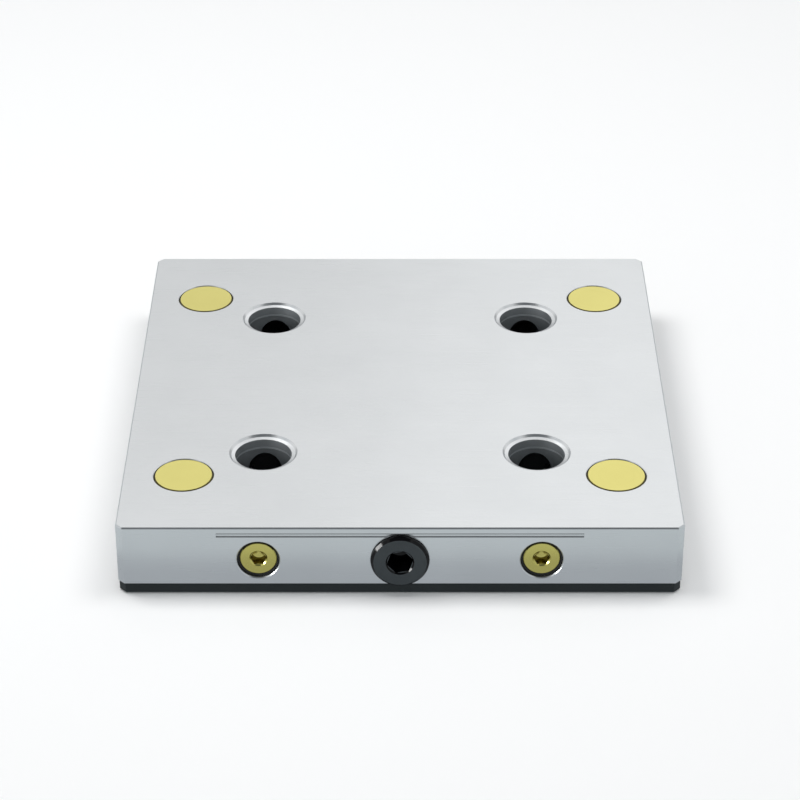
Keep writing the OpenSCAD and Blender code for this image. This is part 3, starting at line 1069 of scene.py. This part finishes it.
@dataclass
class ReturnSpring:
    """Spring between a front pin and a rear pin, cut into two halves.

    Attributes:
        side: Side of the plate.
        wire: Finish of the wire.
        merge: Distance under which the solid's corners are one, in metres.
        flat: Angle up to which two of its triangles are one face, in radians.
    """

    side: Side
    wire: Finish = GrainFinish("spring_finish", (0.60, 0.60, 0.61), (0.52, 0.52, 0.54), BARE, 0.22)
    merge: float = 1.0e-6
    flat: float = 0.6

    def build(self) -> None:
        """Makes both halves and lets them stand for the solid."""
        node = f"spring_{self.side.value}"
        low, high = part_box(node)
        middle = (low + high) / 2
        for end in End:
            half = self.half(f"{node}_{end.name.lower()}", node, middle, end)
            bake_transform(half)
            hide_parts(node)

    def half(self, name: str, node: str, middle: Vector, end: End) -> bpy.types.Object:
        """Cuts the solid in the middle and rounds its wire.

        Args:
            name: Name of the piece.
            node: Solid to cut.
            middle: Middle of the spring.
            end: End that is kept.

        Returns:
            The piece.
        """
        mesh = bpy.data.meshes.new(name)
        bm = bmesh.new()
        bm.from_mesh(frame["nodes"][node].data)
        bmesh.ops.remove_doubles(bm, verts=bm.verts[:], dist=self.merge)
        bmesh.ops.join_triangles(
            bm, faces=bm.faces[:], angle_face_threshold=self.flat, angle_shape_threshold=math.pi
        )
        bmesh.ops.bisect_plane(
            bm, geom=bm.verts[:] + bm.edges[:] + bm.faces[:], plane_co=middle,
            plane_no=(0.0, end.value, 0.0), clear_inner=True,
        )
        bmesh.ops.holes_fill(bm, edges=[edge for edge in bm.edges if edge.is_boundary])
        bmesh.ops.recalc_face_normals(bm, faces=bm.faces[:])
        for face in bm.faces:
            face.smooth = True
        bm.to_mesh(mesh)
        bm.free()
        mesh.materials.append(self.wire.material())
        piece = bpy.data.objects.new(name, mesh)
        bpy.context.scene.collection.objects.link(piece)
        rounded = piece.modifiers.new("rounded_wire", "SUBSURF")
        rounded.levels = rounded.render_levels = 1
        return piece


def facing(place: Point, aim: Point) -> Quaternion:
    """Gives the turn of a lamp or a card that faces a point.

    Args:
        place: Middle of the lamp or card, in metres.
        aim: Point that it faces.

    Returns:
        The turn, from a face that looks down.
    """
    return (Vector(aim) - Vector(place)).to_track_quat("-Z", "Y")


@dataclass(frozen=True)
class Softbox:
    """Rectangular studio lamp.

    Attributes:
        name: Name of the lamp.
        place: Middle of its face, in metres.
        aim: Point that it faces.
        size: Width and height of its face.
        power: Power in watts.
        roll: Turn about its aim, in degrees.
        diffuse: Whether it lights matt surfaces too, and not only shows as a glint.
        glossy: Whether it shows in polished surfaces.
    """

    name: str
    place: Point
    aim: Point
    size: tuple[float, float]
    power: float
    roll: float = 0.0
    diffuse: bool = True
    glossy: bool = True

    def build(self) -> None:
        """Hangs the lamp, out of the camera's sight."""
        data = bpy.data.lights.new(self.name, "AREA")
        data.shape = "RECTANGLE"
        data.size, data.size_y = self.size
        data.energy = self.power
        lamp = bpy.data.objects.new(self.name, data)
        lamp.location = self.place
        lamp.rotation_mode = "QUATERNION"
        roll = Quaternion((0.0, 0.0, 1.0), math.radians(self.roll))
        lamp.rotation_quaternion = facing(self.place, self.aim) @ roll
        lamp.visible_camera = False
        lamp.visible_diffuse = self.diffuse
        lamp.visible_glossy = self.glossy
        bpy.context.scene.collection.objects.link(lamp)


@dataclass(frozen=True)
class Card:
    """Plain card that shows in the metal alone, as hung beside a picture to shade it.

    Attributes:
        name: Name of the card.
        place: Middle of the card, in metres.
        aim: Point that it faces.
        size: Width and height.
        shade: How bright it is.
    """

    name: str
    place: Point
    aim: Point
    size: tuple[float, float]
    shade: Colour

    def build(self) -> None:
        """Hangs the card, which neither the camera sees nor the light."""
        mesh = bpy.data.meshes.new(self.name)
        bm = bmesh.new()
        bmesh.ops.create_grid(bm, x_segments=1, y_segments=1, size=1 / 2)
        scale = Vector((*self.size, 1.0))
        stand = Matrix.LocRotScale(Vector(self.place), facing(self.place, self.aim), scale)
        bmesh.ops.transform(bm, matrix=stand, verts=bm.verts[:])
        bm.to_mesh(mesh)
        bm.free()
        mesh.materials.append(self.material())
        card = bpy.data.objects.new(self.name, mesh)
        card.visible_camera = card.visible_diffuse = card.visible_shadow = False
        bpy.context.scene.collection.objects.link(card)

    def material(self) -> bpy.types.Material:
        """Makes an even surface that is as bright as the card's shade.

        Returns:
            The card's material.
        """
        made = bpy.data.materials.new(self.name)
        made.use_nodes = True
        shader = made.node_tree.nodes["Principled BSDF"]
        shader.inputs["Base Color"].default_value = (*BLACK, 1.0)
        shader.inputs["Specular IOR Level"].default_value = 0.0
        shader.inputs["Emission Color"].default_value = (*self.shade, 1.0)
        shader.inputs["Emission Strength"].default_value = 1.0
        return made


@dataclass
class Studio:
    """Pale floor, white room, soft lamps, cards and the camera.

    Attributes:
        floor_half: Half the width of the floor, in metres.
        floor_colour: Colour of the floor.
        floor_roughness: Roughness of the floor.
        floor_lift: Light that the floor adds where it is seen.
        sky_front: Light of the room in front of the plate.
        sky_back: Light of the room behind the plate.
        sky_span: Backward part of a direction up to which all is front, and from which on all is back.
        camera_place: Place of the camera, in metres.
        camera_pitch: Angle of its view below the horizon, in degrees.
        camera_lens: Focal length on the camera's 36 mm frame.
        lamps: Lamps round the plate.
        cards: Cards that show in the metal.
    """

    floor_half: float = 4.0
    floor_colour: Colour = (0.86, 0.855, 0.85)
    floor_roughness: float = 0.9
    floor_lift: float = 0.06
    sky_front: Colour = ROOM_FRONT
    sky_back: Colour = (0.25, 0.25, 0.25)
    sky_span: tuple[float, float] = (-0.7, 0.7)
    camera_place: Point = (0.0, -0.84377, 0.52949)
    camera_pitch: float = 31.16
    camera_lens: float = 120.53
    lamps: tuple[Softbox, ...] = (
        Softbox("top_left", (-0.50, 0.08, 1.15), MIDDLE, (0.5, 0.5), 6.6, glossy=False),
        Softbox("top_right", (0.42, 0.08, 1.15), MIDDLE, (0.5, 0.5), 4.1, glossy=False),
        Softbox("back_right", (0.55, 1.15, 1.0), MIDDLE, (1.3, 0.8), 1.0),
        Softbox("back_left", (-0.33, 0.72, 1.05), MIDDLE, (0.28, 0.28), 0.4),
        Softbox(
            "left", (-0.90, -0.47, 0.23), (0.0, -0.0975, 0.014), (0.07, 0.42), 3.4,
            roll=-27.0, diffuse=False,
        ),
    )
    cards: tuple[Card, ...] = (
        Card("flag", (0.0, -0.52, 0.85), MIDDLE, (1.1, 1.1), (0.13, 0.14, 0.15)),
        Card("front_wall", (0.0, -1.6, 0.8), (0.0, 0.0, 0.8), (3.2, 1.6), ROOM_FRONT),
        Card("left_wall", (-1.6, -0.7, 0.8), (0.0, -0.7, 0.8), (1.8, 1.6), ROOM_FRONT),
        Card("right_wall", (1.6, -0.7, 0.8), (0.0, -0.7, 0.8), (1.8, 1.6), ROOM_FRONT),
        Card("back_wall", (0.0, 1.8, 0.31), (0.0, 0.0, 0.31), (3.6, 0.62), (0.35, 0.36, 0.37)),
        Card("apron", (0.0, 0.0, 0.0004), (0.0, 0.0, 1.0), (0.9, 0.9), (0.68, 0.73, 0.75)),
        Card("apron_edge", (0.0, 0.0, 0.0006), (0.0, 0.0, 1.0), (0.235, 0.235), (0.49, 0.52, 0.55)),
    )

    def build(self) -> None:
        """Sets up the whole studio."""
        bpy.context.scene.view_settings.view_transform = "Standard"
        self.build_floor()
        self.build_room()
        for piece in self.lamps + self.cards:
            piece.build()
        self.build_camera()

    def build_floor(self) -> None:
        """Lays a pale floor that keeps the plate's shadow."""
        mesh = bpy.data.meshes.new("floor")
        bm = bmesh.new()
        bmesh.ops.create_grid(bm, x_segments=1, y_segments=1, size=self.floor_half)
        bm.to_mesh(mesh)
        bm.free()
        mesh.materials.append(self.floor_material())
        floor = bpy.data.objects.new("floor", mesh)
        bpy.context.scene.collection.objects.link(floor)

    def floor_material(self) -> bpy.types.Material:
        """Wires a matt surface that lifts to white where it is seen.

        Returns:
            The floor's material.
        """
        made = bpy.data.materials.new("floor")
        made.use_nodes = True
        wiring = Wiring(made.node_tree)
        shader = made.node_tree.nodes["Principled BSDF"]
        shader.inputs["Base Color"].default_value = (*self.floor_colour, 1.0)
        shader.inputs["Roughness"].default_value = self.floor_roughness
        shader.inputs["Specular IOR Level"].default_value = 0.0
        shader.inputs["Emission Color"].default_value = (*WHITE, 1.0)
        lift = wiring.math("MULTIPLY", self.seen(wiring), self.floor_lift)
        wiring.feed(shader.inputs["Emission Strength"], lift)
        return made

    def seen(self, wiring: Wiring) -> bpy.types.NodeSocket:
        """Marks the rays that show the background: the camera's, those off metal and those through glass.

        Args:
            wiring: Tree of the floor or of the room.

        Returns:
            1 for those rays, 0 for the rest.
        """
        rays = wiring.node("ShaderNodeLightPath").outputs
        shown = wiring.math("MAXIMUM", rays["Is Camera Ray"], rays["Is Glossy Ray"])
        return wiring.math("MAXIMUM", shown, rays["Is Transmission Ray"])

    def build_room(self) -> None:
        """Wires a room that is white to look at and lights the plate more from the front than the back."""
        world = bpy.data.worlds.new("room")
        bpy.context.scene.world = world
        world.use_nodes = True
        wiring = Wiring(world.node_tree)
        way = wiring.parts(wiring.node("ShaderNodeTexCoord").outputs["Generated"])
        depth = wiring.remap(way["Y"], 0.0, 1.0, self.sky_span)
        room = wiring.mix("RGBA", depth, self.sky_front, self.sky_back)
        lit = wiring.vector("MAXIMUM", room, self.seen(wiring))
        wiring.feed(world.node_tree.nodes["Background"].inputs["Color"], lit.outputs["Vector"])

    def build_camera(self) -> None:
        """Puts the camera in front of the plate, above it."""
        data = bpy.data.cameras.new("camera")
        data.lens = self.camera_lens
        camera = bpy.data.objects.new("camera", data)
        camera.location = self.camera_place
        camera.rotation_euler = (math.radians(90.0 - self.camera_pitch), 0.0, 0.0)
        bpy.context.scene.collection.objects.link(camera)
        bpy.context.scene.camera = camera


def main() -> None:
    """Dresses the plate, sets up the studio and keeps the sizes."""
    logging.basicConfig(level=logging.INFO, format="%(message)s")
    for assembly in (Housing(), Covers(), Plugs(), ClampingScrew(), Mechanism()):
        assembly.dress()
    for side in Side:
        ReturnSpring(side).build()
    Studio().build()


if __name__ == "__main__":
    main()
